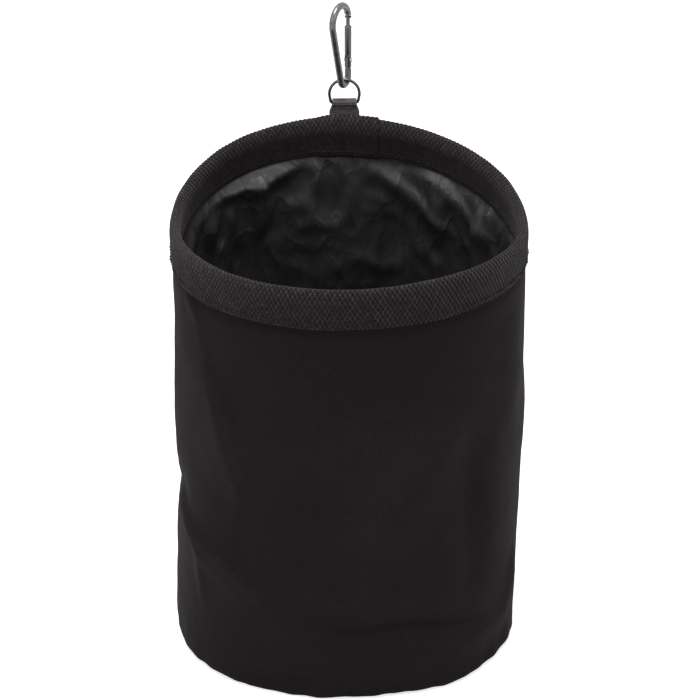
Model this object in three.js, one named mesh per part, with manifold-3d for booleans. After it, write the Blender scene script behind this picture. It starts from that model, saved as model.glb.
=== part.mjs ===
// A round cloth peg bag with a bound rim, hung by a webbing tab, a D-ring and a small carabiner.
// Millimetres, +Z up. The bag stands on its base at the origin, with the tab at the back, +Y.
import * as THREE from "three";
import { mergeVertices } from "three/addons/utils/BufferGeometryUtils.js";
import Module from "manifold-3d";

// Bag
const WALL_RADIUS = 99; // outside of the cloth tube
const FRONT_HEIGHT = 252.5; // floor to the top of the rim at the front
const BACK_LIFT = 25.5; // how much higher the rim stands at the tab
const LIFT_SOFTNESS = 0.2; // 0 bends the rim sharply at its sides
const RIM_TWIST = 1.2; // the soft rim stands higher at back left and front right
const CORNER_RADIUS = 4; // turn of the wall into the base seam
const CLOTH = 0.8; // outer cloth
const LINING = 0.5; // lining cloth
const FIT = 0.3; // clearance between pieces that lie on each other

// Folds of the slack lining
const LINING_SAG = 2.7; // in from the wall, all round
const LINING_FOLD = 7; // further in at the crest of the deepest fold
const LINING_FOLDS = 12; // round the bag
const FOLD_SHIFT = 6; // degrees, which keeps the crests off the corners of the peg space
const FOLD_UNEVEN = 0.25; // share by which some folds are deeper than others
const FOLD_START = 1; // below the binding's edge
const FOLD_FULL = 17;
const FOLD_FOOT = 60; // above the floor, where the folds begin to fade

// Rim
const TAPE = 1.3; // webbing of the binding and the tab
const BAND = 23; // depth of the binding on each side of the wall
const HOOP_RADIUS = 1.5; // rod inside the fold
const LAP_THICKNESS = 1.1; // second layer where the ends of the binding overlap
const LAP_FROM = -10; // along the rim from the tab's middle
const LAP_TO = 17;
const LAP_EDGE = 0.6; // length of the step at each end of the lap

// Tab
const TAB_WIDTH = 17.6; // where it is sewn on
const TAB_EYE_WIDTH = 14.2; // gathered at the ring
const TAB_TAIL = 22; // from the rim's top down to the cut ends
const TAB_RISE = 7; // from the rim's top up to the ring's bar

// D-ring
const RING_WIRE = 0.9; // radius
const RING_BAR_HALF = 8.2; // half width along the bar, to the wire's middle
const RING_WIDE_HALF = 8.8; // half width where the arch begins
const RING_CORNER = 1.6;
const RING_HEIGHT = 14.2; // bar to the top of the arch, between wire middles

// Carabiner
const ROD = 2; // radius
const TOP_BEND = 9.65; // to the rod's middle
const FOOT_BEND = 4.6;
const BEND_SPACING = 35.5; // between the two bends' centres
const CARABINER_TURN = 61; // degrees out of the ring's plane, spine to the front
const RUNNING_FIT = 0.15; // pins in their holes
const HINGE_HEIGHT = 9.4; // rivet above the foot bend's centre
const TANG_THICKNESS = 1.6;
const TANG_SHOULDER = 5.6; // full rod ends this far below the rivet
const TANG_TOP = 1.9; // flat end above the rivet
const RIVET = 0.7; // radius
const RIVET_HEAD = 1.1;
const RIVET_HEAD_THICKNESS = 0.4;
const GATE = 2.05; // radius
const GATE_BELOW = 4.7; // gate below the rivet
const GATE_SHOULDER = 21; // gate above the rivet
const FORK_DEPTH = 3.2; // slot above the rivet
const TONGUE_WIDTH = 2.6;
const TONGUE_THICKNESS = 1.4;
const TONGUE_TOP = 28.95; // above the rivet
const LATCH_HEIGHT = 27.65; // pin above the rivet
const LATCH_PIN = 0.6; // radius
const LATCH_PIN_HALF = 1.7;
const TONGUE_ROOT = 1.3; // tongue inside the gate's end
const NOSE_BACK = 0.4; // metal left behind the nose slot
const BORE = 1.1; // radius
const BORE_TOP = 17; // above the rivet
const COIL = 0.72; // radius of the spring, to the wire's middle
const COIL_WIRE = 0.14;
const COIL_TURNS = 9;
const CUT_REACH = 6; // cutters reach this far from the rod's middle

// Facets
const ROUND = 72; // round the bag
const WIRE_SIDES = 12;
const PIN_SIDES = 20;
const COIL_STEPS = 10; // along each turn of the spring
const BEND_STEP = 9; // degrees, along the ring and the rod
const SEAM_STEP = 22.5; // degrees, across the base corner and the rim's fold
const HOOP_STEP = 45; // degrees, round the hoop's rod
const COIL_WIRE_STEP = 72; // degrees, round the spring's wire

// Sizes that follow
const BINDING_INSIDE = WALL_RADIUS + FIT;
const LINING_RADIUS = WALL_RADIUS - CLOTH - FIT;
const BINDING_BACK = LINING_RADIUS - LINING - FIT;
const RIM_MIDDLE = (BINDING_INSIDE + BINDING_BACK) / 2;
const FOLD_INSIDE = HOOP_RADIUS + FIT;
const FOLD_OUTSIDE = FOLD_INSIDE + TAPE;
const SEAM_RADIUS = WALL_RADIUS - CORNER_RADIUS;
const EDGE_BELOW_RIM = FOLD_OUTSIDE + HOOP_RADIUS + 2 * FIT;
const BACK_HEIGHT = FRONT_HEIGHT + BACK_LIFT;
const TAB_Y = RIM_MIDDLE + FOLD_OUTSIDE + LAP_THICKNESS + FIT + TAPE;
const BAR_Z = BACK_HEIGHT + TAB_RISE;
const EYE_INSIDE = RING_WIRE + FIT;
const EYE_OUTSIDE = EYE_INSIDE + TAPE;
const FOOT_Z = BAR_Z + RING_HEIGHT - RING_WIRE - FIT - ROD + FOOT_BEND;
const GATE_X = FOOT_BEND;
const TOP_X = GATE_X - TOP_BEND;
const TOP_Z = FOOT_Z + BEND_SPACING;
const HINGE_Z = FOOT_Z + HINGE_HEIGHT;
const LATCH_Z = HINGE_Z + LATCH_HEIGHT;

const wasm = await Module();
wasm.setup();

// Booleans

function toSolid(geometry) {
  const bare = geometry.clone();
  bare.deleteAttribute("normal");
  bare.deleteAttribute("uv");
  const merged = mergeVertices(bare, 1e-5);
  const mesh = new wasm.Mesh({
    numProp: 3,
    vertProperties: new Float32Array(merged.attributes.position.array),
    triVerts: new Uint32Array(merged.index.array),
  });
  return new wasm.Manifold(mesh);
}

function toGeometry(solid) {
  const mesh = solid.getMesh();
  return bodyOf(Array.from(mesh.vertProperties), Array.from(mesh.triVerts));
}

function cut(geometry, tools) {
  return toGeometry(tools.reduce((left, tool) => left.subtract(toSolid(tool)), toSolid(geometry)));
}

function join(geometry, other) {
  return toGeometry(toSolid(geometry).add(toSolid(other)));
}

// Shapes

function bodyOf(positions, faces) {
  const geometry = new THREE.BufferGeometry();
  geometry.setAttribute("position", new THREE.Float32BufferAttribute(positions, 3));
  geometry.setIndex(faces);
  geometry.computeVertexNormals();
  return geometry;
}

// Skins a row of equal outlines, each turning against the way the row runs, into one closed body.
// Each patch is split along its shorter diagonal, so both faces of a thin folded wall are split alike.
function skin(outlines, roundTrip) {
  const size = outlines[0].length;
  const points = outlines.flat();
  const apart = (a, b) => points[a].distanceTo(points[b]);
  const faces = [];
  const rows = roundTrip ? outlines.length : outlines.length - 1;
  for (let row = 0; row < rows; row++) {
    const here = row * size;
    const there = ((row + 1) % outlines.length) * size;
    for (let i = 0; i < size; i++) {
      const j = (i + 1) % size;
      const [a, b, c, d] = [here + i, here + j, there + j, there + i];
      faces.push(...(apart(a, c) < apart(b, d) ? [a, c, b, a, d, c] : [a, d, b, d, c, b]));
    }
  }
  if (!roundTrip) {
    const last = rows * size;
    for (let i = 1; i < size - 1; i++) {
      faces.push(0, i, i + 1, last, last + i + 1, last + i);
    }
  }
  return bodyOf(points.flatMap((p) => [p.x, p.y, p.z]), faces);
}

// A section of radii and heights carried round the bag; the section may change with the angle.
function carryRound(section, angles) {
  const outlines = angles.map((angle) =>
    section(angle).map(([r, z]) => new THREE.Vector3(r * Math.cos(angle), r * Math.sin(angle), z)),
  );
  return skin(outlines, true);
}

// A round rod along a flat path of [x, z] points.
function rodAlong(path, radius, closed) {
  const count = path.length;
  const across = new THREE.Vector3(0, 1, 0);
  const outlines = path.map(([x, z], i) => {
    const before = path[closed ? (i + count - 1) % count : Math.max(i - 1, 0)];
    const after = path[closed ? (i + 1) % count : Math.min(i + 1, count - 1)];
    const along = new THREE.Vector3(after[0] - before[0], 0, after[1] - before[1]).normalize();
    const side = new THREE.Vector3().crossVectors(across, along);
    return range(WIRE_SIDES).map((k) => {
      const turn = (2 * Math.PI * k) / WIRE_SIDES;
      return new THREE.Vector3(x, 0, z)
        .addScaledVector(side, radius * Math.cos(turn))
        .addScaledVector(across, -radius * Math.sin(turn));
    });
  });
  return skin(outlines, closed);
}

function range(count) {
  return Array.from({ length: count }, (_, i) => i);
}

function arc(x, z, radius, from, to, step) {
  const steps = Math.ceil(Math.abs(to - from) / step);
  return range(steps + 1).map((i) => {
    const angle = THREE.MathUtils.degToRad(from + ((to - from) * i) / steps);
    return [x + radius * Math.cos(angle), z + radius * Math.sin(angle)];
  });
}

function block(x0, x1, y0, y1, z0, z1) {
  const box = new THREE.BoxGeometry(x1 - x0, y1 - y0, z1 - z0);
  return box.translate((x0 + x1) / 2, (y0 + y1) / 2, (z0 + z1) / 2);
}

function upright(radius, z0, z1, sides) {
  const post = new THREE.CylinderGeometry(radius, radius, z1 - z0, sides);
  return post.rotateX(Math.PI / 2).translate(0, 0, (z0 + z1) / 2);
}

function crossPin(radius, half, x, z) {
  return new THREE.CylinderGeometry(radius, radius, 2 * half, PIN_SIDES).translate(x, 0, z);
}

// Bag pieces

// Height of the rim's top: level round the front, rising to the tab at the back.
function rimTop(angle) {
  const back = Math.sin(angle);
  const eased = (s) => s + Math.hypot(s, LIFT_SOFTNESS);
  return FRONT_HEIGHT + (BACK_LIFT * eased(back)) / eased(1) - RIM_TWIST * Math.sin(2 * angle);
}

function anglesRound(extra = []) {
  const even = range(ROUND).map((i) => (2 * Math.PI * i) / ROUND);
  return [...even, ...extra].sort((a, b) => a - b);
}

// A tube of cloth whose foot turns in to the base seam, inset from the bag's outer surface.
// Its wall runs straight up, or through the [inward, height] points that hang gives.
function clothTube(inset, thickness, hang = () => []) {
  const section = (angle) => {
    const edge = rimTop(angle) - EDGE_BELOW_RIM;
    const line = (depth) => [
      ...arc(SEAM_RADIUS, CORNER_RADIUS, CORNER_RADIUS - depth, -90, 0, SEAM_STEP),
      ...hang(angle).map(([inward, height]) => [WALL_RADIUS - depth - inward, height]),
      [WALL_RADIUS - depth, edge],
    ];
    return [...line(inset), ...line(inset + thickness).reverse()];
  };
  return carryRound(section, anglesRound());
}

// The lining sags in below the binding, in soft upright folds.
function liningHang(angle) {
  const turn = angle + Math.PI / 2;
  const shifted = turn - THREE.MathUtils.degToRad(FOLD_SHIFT) * Math.sin(4 * turn);
  const crest = 0.5 + 0.5 * Math.cos(LINING_FOLDS * shifted);
  const depth = 1 - FOLD_UNEVEN + FOLD_UNEVEN * Math.sin(3 * turn + 1);
  const inward = LINING_SAG + LINING_FOLD * depth * crest;
  const band = rimTop(angle) - BAND;
  return [
    [inward, FOLD_FOOT],
    [inward, band - FOLD_FULL],
    [0, band - FOLD_START],
  ];
}

function clothDisc(bottom, thickness) {
  return upright(SEAM_RADIUS - FIT, bottom, bottom + thickness, ROUND);
}

// Thickness of the webbing, which is doubled along the lap beside the tab.
function tapeAt(angle) {
  const along = (Math.PI / 2 - angle) * WALL_RADIUS;
  const inLap = along > LAP_FROM && along < LAP_TO;
  return inLap ? TAPE + LAP_THICKNESS : TAPE;
}

function lapAngles() {
  const ends = [LAP_FROM, LAP_FROM - LAP_EDGE, LAP_TO, LAP_TO + LAP_EDGE];
  const inward = [LAP_FROM + LAP_EDGE, LAP_TO - LAP_EDGE];
  return [...ends, ...inward].map((along) => Math.PI / 2 - along / WALL_RADIUS);
}

function rimBinding() {
  const section = (angle) => {
    const top = rimTop(angle);
    const fold = top - FOLD_OUTSIDE;
    const tape = tapeAt(angle);
    const neck = fold - FOLD_OUTSIDE;
    const foot = top - BAND;
    return [
      [BINDING_INSIDE, foot],
      [BINDING_INSIDE + tape, foot],
      [BINDING_INSIDE + tape, neck],
      ...arc(RIM_MIDDLE, fold, FOLD_INSIDE + tape, 0, 180, SEAM_STEP),
      [BINDING_BACK - tape, neck],
      [BINDING_BACK - tape, foot],
      [BINDING_BACK, foot],
      [BINDING_BACK, neck],
      ...arc(RIM_MIDDLE, fold, FOLD_INSIDE, 180, 0, SEAM_STEP),
      [BINDING_INSIDE, neck],
    ];
  };
  return carryRound(section, anglesRound(lapAngles()));
}

function rimHoop() {
  const section = (angle) => {
    const middle = rimTop(angle) - FOLD_OUTSIDE;
    return arc(RIM_MIDDLE, middle, HOOP_RADIUS, 0, 360 - HOOP_STEP, HOOP_STEP);
  };
  return carryRound(section, anglesRound());
}

function hangingTab() {
  const foot = BACK_HEIGHT - TAB_TAIL;
  const pinch = Math.acos(TAPE / EYE_OUTSIDE);
  const side = new THREE.Shape();
  side.moveTo(TAB_Y - TAPE, foot);
  side.lineTo(TAB_Y + TAPE, foot);
  side.absarc(TAB_Y, BAR_Z, EYE_OUTSIDE, -pinch, Math.PI + pinch, false);
  side.closePath();
  side.holes.push(new THREE.Path().absarc(TAB_Y, BAR_Z, EYE_INSIDE, 0, 2 * Math.PI, true));
  const strip = new THREE.ExtrudeGeometry(side, { depth: TAB_WIDTH, bevelEnabled: false, curveSegments: 16 });
  const turned = new THREE.Matrix4().makeBasis(
    new THREE.Vector3(0, 1, 0),
    new THREE.Vector3(0, 0, 1),
    new THREE.Vector3(1, 0, 0),
  );
  strip.applyMatrix4(turned).translate(-TAB_WIDTH / 2, 0, 0);
  const trims = [1, -1].map((way) => {
    const wedge = new THREE.Shape();
    wedge.moveTo((way * TAB_WIDTH) / 2, BACK_HEIGHT - TAB_TAIL / 2);
    wedge.lineTo((way * TAB_EYE_WIDTH) / 2, BACK_HEIGHT);
    wedge.lineTo((way * TAB_EYE_WIDTH) / 2, BAR_Z + TAB_WIDTH);
    wedge.lineTo(way * TAB_WIDTH, BAR_Z + TAB_WIDTH);
    wedge.lineTo(way * TAB_WIDTH, BACK_HEIGHT - TAB_TAIL / 2);
    const cutter = new THREE.ExtrudeGeometry(wedge, { depth: 2 * TAB_WIDTH, bevelEnabled: false });
    return cutter.rotateX(Math.PI / 2).translate(0, TAB_Y + TAB_WIDTH, 0);
  });
  return cut(strip, trims);
}

// Hanging hardware

function dRing() {
  const archFoot = RING_HEIGHT - RING_WIDE_HALF;
  const corner = RING_BAR_HALF - RING_CORNER;
  const path = [
    ...arc(-corner, RING_CORNER, RING_CORNER, -180, -90, BEND_STEP),
    [0, 0],
    ...arc(corner, RING_CORNER, RING_CORNER, -90, 0, BEND_STEP),
    ...arc(0, archFoot, RING_WIDE_HALF, 0, 180, BEND_STEP),
  ];
  return rodAlong(path, RING_WIRE, true).translate(0, TAB_Y, BAR_Z);
}

// The carabiner is drawn flat in X and Z, gate to +X, and its group turns it out of the ring's plane.

function framePath() {
  const lean = THREE.MathUtils.radToDeg(
    Math.asin((TOP_BEND - FOOT_BEND) / Math.hypot(TOP_X, BEND_SPACING)) + Math.atan2(-TOP_X, BEND_SPACING),
  );
  return [
    ...arc(TOP_X, TOP_Z, TOP_BEND, 0, 180 + lean, BEND_STEP),
    ...arc(0, FOOT_Z, FOOT_BEND, 180 + lean, 360, BEND_STEP),
    [GATE_X, HINGE_Z - TANG_SHOULDER],
    [GATE_X, HINGE_Z + TANG_TOP],
  ];
}

function tangCheeks() {
  const half = TANG_THICKNESS / 2;
  const foot = HINGE_Z - TANG_SHOULDER;
  const head = TOP_Z - TOP_BEND;
  return [
    block(GATE_X - CUT_REACH, GATE_X + CUT_REACH, half, CUT_REACH, foot, head),
    block(GATE_X - CUT_REACH, GATE_X + CUT_REACH, -CUT_REACH, -half, foot, head),
  ];
}

// The tongue slot is open to the end and the inner side; the pin groove across it is open to the inner side.
function noseCuts() {
  const slotHalf = TONGUE_THICKNESS / 2 + FIT;
  const pinHalf = LATCH_PIN + FIT;
  const inner = GATE_X - CUT_REACH;
  const slotTop = HINGE_Z + TONGUE_TOP + 2 * FIT;
  return [
    block(inner, GATE_X + ROD - NOSE_BACK, -slotHalf, slotHalf, TOP_Z - ROD, slotTop),
    block(inner, GATE_X, -CUT_REACH, CUT_REACH, LATCH_Z - pinHalf, LATCH_Z + pinHalf),
    crossPin(pinHalf, CUT_REACH, GATE_X, LATCH_Z),
  ];
}

function carabinerFrame() {
  const hinge = crossPin(RIVET + RUNNING_FIT, CUT_REACH, GATE_X, HINGE_Z);
  return cut(rodAlong(framePath(), ROD, false), [...tangCheeks(), ...noseCuts(), hinge]);
}

function carabinerGate() {
  const slotHalf = TANG_THICKNESS / 2 + FIT;
  const shoulder = HINGE_Z + GATE_SHOULDER;
  const post = upright(GATE, HINGE_Z - GATE_BELOW, shoulder, 2 * WIRE_SIDES).translate(GATE_X, 0, 0);
  const tongue = block(
    GATE_X - TONGUE_WIDTH / 2,
    GATE_X + TONGUE_WIDTH / 2,
    -TONGUE_THICKNESS / 2,
    TONGUE_THICKNESS / 2,
    shoulder - TONGUE_ROOT,
    HINGE_Z + TONGUE_TOP,
  );
  const fork = block(
    GATE_X - CUT_REACH,
    GATE_X + CUT_REACH,
    -slotHalf,
    slotHalf,
    HINGE_Z - CUT_REACH,
    HINGE_Z + FORK_DEPTH,
  );
  const bore = upright(BORE, HINGE_Z, HINGE_Z + BORE_TOP, PIN_SIDES).translate(GATE_X, 0, 0);
  const hinge = crossPin(RIVET + RUNNING_FIT, CUT_REACH, GATE_X, HINGE_Z);
  const latch = crossPin(LATCH_PIN + RUNNING_FIT, CUT_REACH, GATE_X, LATCH_Z);
  return cut(join(post, tongue), [fork, bore, hinge, latch]);
}

function gateRivet() {
  const under = GATE + RUNNING_FIT;
  const end = under + RIVET_HEAD_THICKNESS;
  const profile = [
    [0, -end],
    [RIVET_HEAD, -end],
    [RIVET_HEAD, -under],
    [RIVET, -under],
    [RIVET, under],
    [RIVET_HEAD, under],
    [RIVET_HEAD, end],
    [0, end],
  ];
  const points = profile.map(([r, y]) => new THREE.Vector2(r, y));
  return new THREE.LatheGeometry(points, PIN_SIDES).translate(GATE_X, 0, HINGE_Z);
}

function latchPin() {
  return crossPin(LATCH_PIN, LATCH_PIN_HALF, GATE_X, LATCH_Z);
}

class CoilLine extends THREE.Curve {
  constructor(bottom, top) {
    super();
    this.bottom = bottom;
    this.top = top;
  }

  getPoint(t) {
    const turn = 2 * Math.PI * COIL_TURNS * t;
    const z = this.bottom + (this.top - this.bottom) * t;
    return new THREE.Vector3(COIL * Math.cos(turn), COIL * Math.sin(turn), z);
  }
}

function gateSpring() {
  const bottom = HINGE_Z + TANG_TOP + FIT + COIL_WIRE;
  const top = HINGE_Z + BORE_TOP - FIT - COIL_WIRE;
  const round = arc(0, 0, COIL_WIRE, 0, 360 - COIL_WIRE_STEP, COIL_WIRE_STEP);
  const wire = new THREE.Shape(round.map(([x, y]) => new THREE.Vector2(x, y)));
  const line = new CoilLine(bottom, top);
  const options = { steps: COIL_STEPS * COIL_TURNS, bevelEnabled: false, extrudePath: line };
  return new THREE.ExtrudeGeometry(wire, options).translate(GATE_X, 0, 0);
}

// Assembly

const cloth = () => new THREE.MeshStandardMaterial({ color: 0x1c1918, roughness: 0.85, metalness: 0 });
const satin = () => new THREE.MeshStandardMaterial({ color: 0x141313, roughness: 0.4, metalness: 0 });
const webbing = () => new THREE.MeshStandardMaterial({ color: 0x242120, roughness: 0.95, metalness: 0 });
const plastic = () => new THREE.MeshStandardMaterial({ color: 0x202020, roughness: 0.6, metalness: 0 });
const steel = () => new THREE.MeshStandardMaterial({ color: 0x6b6c70, roughness: 0.2, metalness: 1 });
const gateMetal = () => new THREE.MeshStandardMaterial({ color: 0x5a5a5e, roughness: 0.4, metalness: 0.9 });

function piece(name, geometry, material) {
  const mesh = new THREE.Mesh(geometry, material);
  mesh.name = name;
  return mesh;
}

const group = new THREE.Group();
group.name = "peg_bag";

const liningFloor = CLOTH + FIT;
group.add(
  piece("outer_wall", clothTube(0, CLOTH), cloth()),
  piece("base_panel", clothDisc(0, CLOTH), cloth()),
  piece("lining_wall", clothTube(liningFloor, LINING, liningHang), satin()),
  piece("lining_base", clothDisc(liningFloor, LINING), satin()),
  piece("rim_binding", rimBinding(), webbing()),
  piece("rim_hoop", rimHoop(), plastic()),
  piece("hanging_tab", hangingTab(), webbing()),
  piece("d_ring", dRing(), steel()),
);

const carabiner = new THREE.Group();
carabiner.name = "carabiner";
carabiner.position.y = TAB_Y;
carabiner.rotation.z = THREE.MathUtils.degToRad(CARABINER_TURN);
carabiner.add(
  piece("carabiner_frame", carabinerFrame(), steel()),
  piece("carabiner_gate", carabinerGate(), gateMetal()),
  piece("gate_rivet", gateRivet(), steel()),
  piece("latch_pin", latchPin(), steel()),
  piece("gate_spring", gateSpring(), steel()),
);
group.add(carabiner);

export default group;
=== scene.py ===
import math

import bpy
from mathutils import Matrix, Vector, noise


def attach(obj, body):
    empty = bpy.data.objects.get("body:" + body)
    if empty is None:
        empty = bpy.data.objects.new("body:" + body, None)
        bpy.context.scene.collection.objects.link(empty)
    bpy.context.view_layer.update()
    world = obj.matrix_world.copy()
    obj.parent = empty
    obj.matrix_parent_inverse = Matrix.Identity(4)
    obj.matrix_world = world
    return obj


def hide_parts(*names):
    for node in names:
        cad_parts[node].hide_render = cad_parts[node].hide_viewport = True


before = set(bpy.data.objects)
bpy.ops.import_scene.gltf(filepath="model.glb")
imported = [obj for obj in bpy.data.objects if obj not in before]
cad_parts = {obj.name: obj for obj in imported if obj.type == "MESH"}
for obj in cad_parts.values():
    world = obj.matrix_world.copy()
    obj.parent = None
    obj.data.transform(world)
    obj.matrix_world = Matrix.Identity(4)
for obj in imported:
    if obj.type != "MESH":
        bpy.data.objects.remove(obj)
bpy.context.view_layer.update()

# Bag, in metres
WALL_RADIUS = 0.099
FRONT_HEIGHT = 0.2525
BACK_LIFT = 0.0255
LIFT_SOFTNESS = 0.2  # how gently the rim begins to rise towards the back
RIM_TWIST = 0.0012
CORNER = 0.004
CLOTH = 0.0008  # thickness of the bag's cloth
LINING = 0.0005  # thickness of the lining
FOOT_LEAN = -0.0019
LEAN_HEIGHT = 0.13
WALL_BULGE = 0.0009
BULGE_HEIGHT = 0.17
FOOT_SPREAD = 0.0031
FOOT_HEIGHT = 0.034
RAISED_FULL = 0.004  # a fold this high gets the palest painted highlight, a hollow this deep the darkest painted shade
WALL_RIPPLES = ((0.0011, 0.055, 0), (0.00035, 0.017, 1))  # height, size and seed of each
FOOT_PUCKER = 0.0007
BAND_PUCKER = 0.0003
SEAM_PUCKER = 0.0004
SEAM_DENT = 0.0008
BAND_DENT = 0.0011
SEAM_GAP = 0.0003
BASE_LIFT = 0.0001
BASE_HOLLOW = 0.0009
SEAM_RADIUS = WALL_RADIUS - CORNER
AROUND = 2 * math.pi * WALL_RADIUS

# Rim
RIM_MIDDLE = 0.0982
TAPE = 0.0013  # thickness of the webbing
BAND = 0.023  # how far the binding comes down each side
LEG = 0.0024  # from the rim's middle to the face of the webbing at its edges
FOLD_OUT = 0.0029  # the same at the fold, on the outside
FOLD_IN = 0.0036  # and on the inside
FOLD_DEPTH = 0.0085
EDGE_BELOW_RIM = 0.0052  # the wall's top edge, hidden in the binding
LAP_FROM = -0.010  # the webbing's ends, measured from the middle of the back
LAP_TO = 0.0205
LAP_STEP = 0.00125
HEM_ROUND = 0.0003
HEM_RISE = 0.0004
HEM_WAVER = 0.0005
YARNS_ALONG = 244
YARNS_ACROSS = 23
YARN_RELIEF = 0.0006
YARN_STRAY = 0.0012
PRESSED = 0.88  # share of the weave's relief that is lost inside the mouth
PRESSED_FROM = 0.52
PRESSED_TO = 0.72

# Lining
LINING_TOP = BAND - 0.004
LINING_RADIUS = 0.0972
LINING_FOOT = 0.0024
LINING_SAG = 0.0027
LINING_FOLD = 0.007
LINING_FOLDS = 12
FOLD_SHIFT = math.radians(6)
FOLD_DRIFT = 0.12
LINING_SLACK = 0.04
LINING_CORNER = 0.004
LINING_WAVE = 0.0016
LINING_CRINKLE = 0.0008
SEWN_TOP = 0.006  # the width of lining that its top seam holds
SEWN_FOOT = 0.0016
LINING_CRUMPLES = ((0.0014, 0.030, 3), (0.0008, 0.014, 8))  # height, size and seed of each
FLOOR_HEIGHT = 0.0013
FLOOR_FOLD = 0.0013
FLOOR_WRINKLE = 0.0005
HANG_STEPS = 32
GUARD_HEIGHT = 0.32
GUARD_MIDDLE = 0.15
GUARD_GAP = 0.002

# Tab and ring
TAB_Y = 0.104
BAR_Z = 0.285
TAB_FOOT = 0.256
TAB_WIDTH = 0.0176
TAB_EYE_WIDTH = 0.0142
TAB_EYE = 0.00185
TAB_THICKNESS = 0.0011
TAB_HUG = 0.0016
TAB_CLOSE = 0.0006  # the sewn tail lies this much nearer the bag
RIB = 0.00125
RIB_RELIEF = 0.00017
RING_WIRE = 0.0009
RING_BAR_HALF = 0.0082
RING_WIDE_HALF = 0.0088
RING_CORNER = 0.0016
RING_HEIGHT = 0.0142

# Carabiner
ROD = 0.002
TOP_BEND = 0.00965
FOOT_BEND = 0.0046
BEND_SPACING = 0.0355
CARABINER_TURN = math.radians(61)
FOOT_Z = 0.3006
TOP_Z = FOOT_Z + BEND_SPACING
GATE_X = FOOT_BEND
TOP_X = GATE_X - TOP_BEND
HINGE_Z = FOOT_Z + 0.0094
LATCH_Z = HINGE_Z + 0.02765
TANG_HALF = 0.0008
TANG_SHOULDER = 0.0056
TANG_TOP = 0.0019
GATE = 0.00205
GATE_BELOW = 0.0047
GATE_SHOULDER = 0.021
FORK_DEPTH = 0.0032
FORK_HALF = 0.0011
TONGUE_HALF_WIDTH = 0.0013
TONGUE_HALF = 0.0007
TONGUE_TOP = 0.02895
TONGUE_ROOT = 0.0013
NOSE_SLOT_HALF = 0.001
NOSE_CLEARANCE = 0.0006
NOSE_BACK = 0.0004
LATCH_GROOVE = 0.0009
RIVET_HEAD = 0.0011
RIVET_HALF = 0.0026
CUT_REACH = 3 * ROD
ROD_EDGE = 0.0002
GATE_END = 0.0006
GATE_EDGE = 0.00012
TONGUE_EDGE = 0.0003
RIVET_EDGE = 0.0004

# Sewing
THREAD = 0.00022
STITCH = 0.0024
STITCH_PITCH = 0.0033
STITCH_LIFT = 0.0001
STITCH_SINK = 0.00035
STITCH_SHARE = 0.085  # place of the stitches across the webbing, from its edge
BOX_PITCH = 0.0029
BOX_HALF = 0.0062
BOX_LOW = TAB_FOOT + 0.002
BOX_HIGH = TAB_FOOT + 0.0135

# Fineness of the cloth: columns and rows, or sides and rings
WALL_GRID = (300, 116)
LINING_GRID = (240, 92)
RIM_GRID = (4 * YARNS_ALONG, 3 * YARNS_ACROSS)
TAB_GRID = (16, 300)
ROUND_SIDES = 144
BASE_RINGS = 14
FLOOR_RINGS = 34

# Camera
EYE_HEIGHT = math.radians(24.33)
EYE_DISTANCE = 2.0
EYE_TURN = math.radians(-1.5)
EYE_AIM = Vector((0.00057, 0, 0.17274))
EYE_LENS = 179.75
EYE_SENSOR = 36


# Working by hand

def leave_edit():
    bpy.ops.object.mode_set(mode="OBJECT")


def let_go():
    """Leave edit mode and deselect everything."""
    if bpy.context.object and bpy.context.object.mode != "OBJECT":
        leave_edit()
    bpy.ops.object.select_all(action="DESELECT")


def take(piece):
    """Make one piece the only selected and active object."""
    let_go()
    piece.select_set(True)
    bpy.context.view_layer.objects.active = piece


def edit_all(piece):
    """Enter edit mode with the whole piece selected."""
    take(piece)
    bpy.ops.object.mode_set(mode="EDIT")
    bpy.ops.mesh.select_all(action="SELECT")


def name_new(name):
    """Name the primitive that was just added."""
    piece = bpy.context.active_object
    piece.name = name
    piece.data.name = name
    return piece


def apply_modifier(piece, kind, **settings):
    """Add a modifier with these settings and apply it."""
    take(piece)
    modifier = piece.modifiers.new(kind.lower(), kind)
    for setting, value in settings.items():
        setattr(modifier, setting, value)
    bpy.ops.object.modifier_apply(modifier=modifier.name)


def settle(piece):
    """Put the piece's place into its mesh."""
    take(piece)
    bpy.ops.object.transform_apply(location=True, rotation=True, scale=True)


def merge_doubles(piece):
    """Close seams where points meet, and turn the faces outwards."""
    edit_all(piece)
    bpy.ops.mesh.remove_doubles(threshold=1e-6)
    bpy.ops.mesh.normals_make_consistent(inside=False)
    leave_edit()


def smooth(piece, degrees=40):
    """Shade smooth, except across edges that are sharper than this."""
    take(piece)
    bpy.ops.object.shade_smooth_by_angle(angle=math.radians(degrees))


def soften_edges(piece, width, segments, degrees):
    """Round every edge that is sharper than this."""
    angle = math.radians(degrees)
    apply_modifier(piece, "BEVEL", width=width, segments=segments, limit_method="ANGLE", angle_limit=angle)


def carve(piece, cutter):
    """Cut one piece out of another and throw the cutter away."""
    apply_modifier(piece, "BOOLEAN", operation="DIFFERENCE", solver="EXACT", object=cutter)
    bpy.data.objects.remove(cutter)


def block_between(low, high):
    """A box between two corners, to cut with or to join on."""
    let_go()
    bpy.ops.mesh.primitive_cube_add(size=1)
    block = name_new("block")
    block.location = [(a + b) / 2 for a, b in zip(low, high)]
    block.scale = [b - a for a, b in zip(low, high)]
    settle(block)
    return block


def cut_cloth(name, width, length, columns, rows):
    """A flat rectangle of cloth with its UV map in metres."""
    let_go()
    bpy.ops.mesh.primitive_grid_add(x_subdivisions=columns, y_subdivisions=rows, size=1, calc_uvs=True)
    piece = name_new(name)
    edit_all(piece)
    bpy.ops.transform.resize(value=(width, length, 1))
    leave_edit()
    for corner in piece.data.uv_layers.active.data:
        corner.uv = (corner.uv.x * width, corner.uv.y * length)
    return piece


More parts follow.
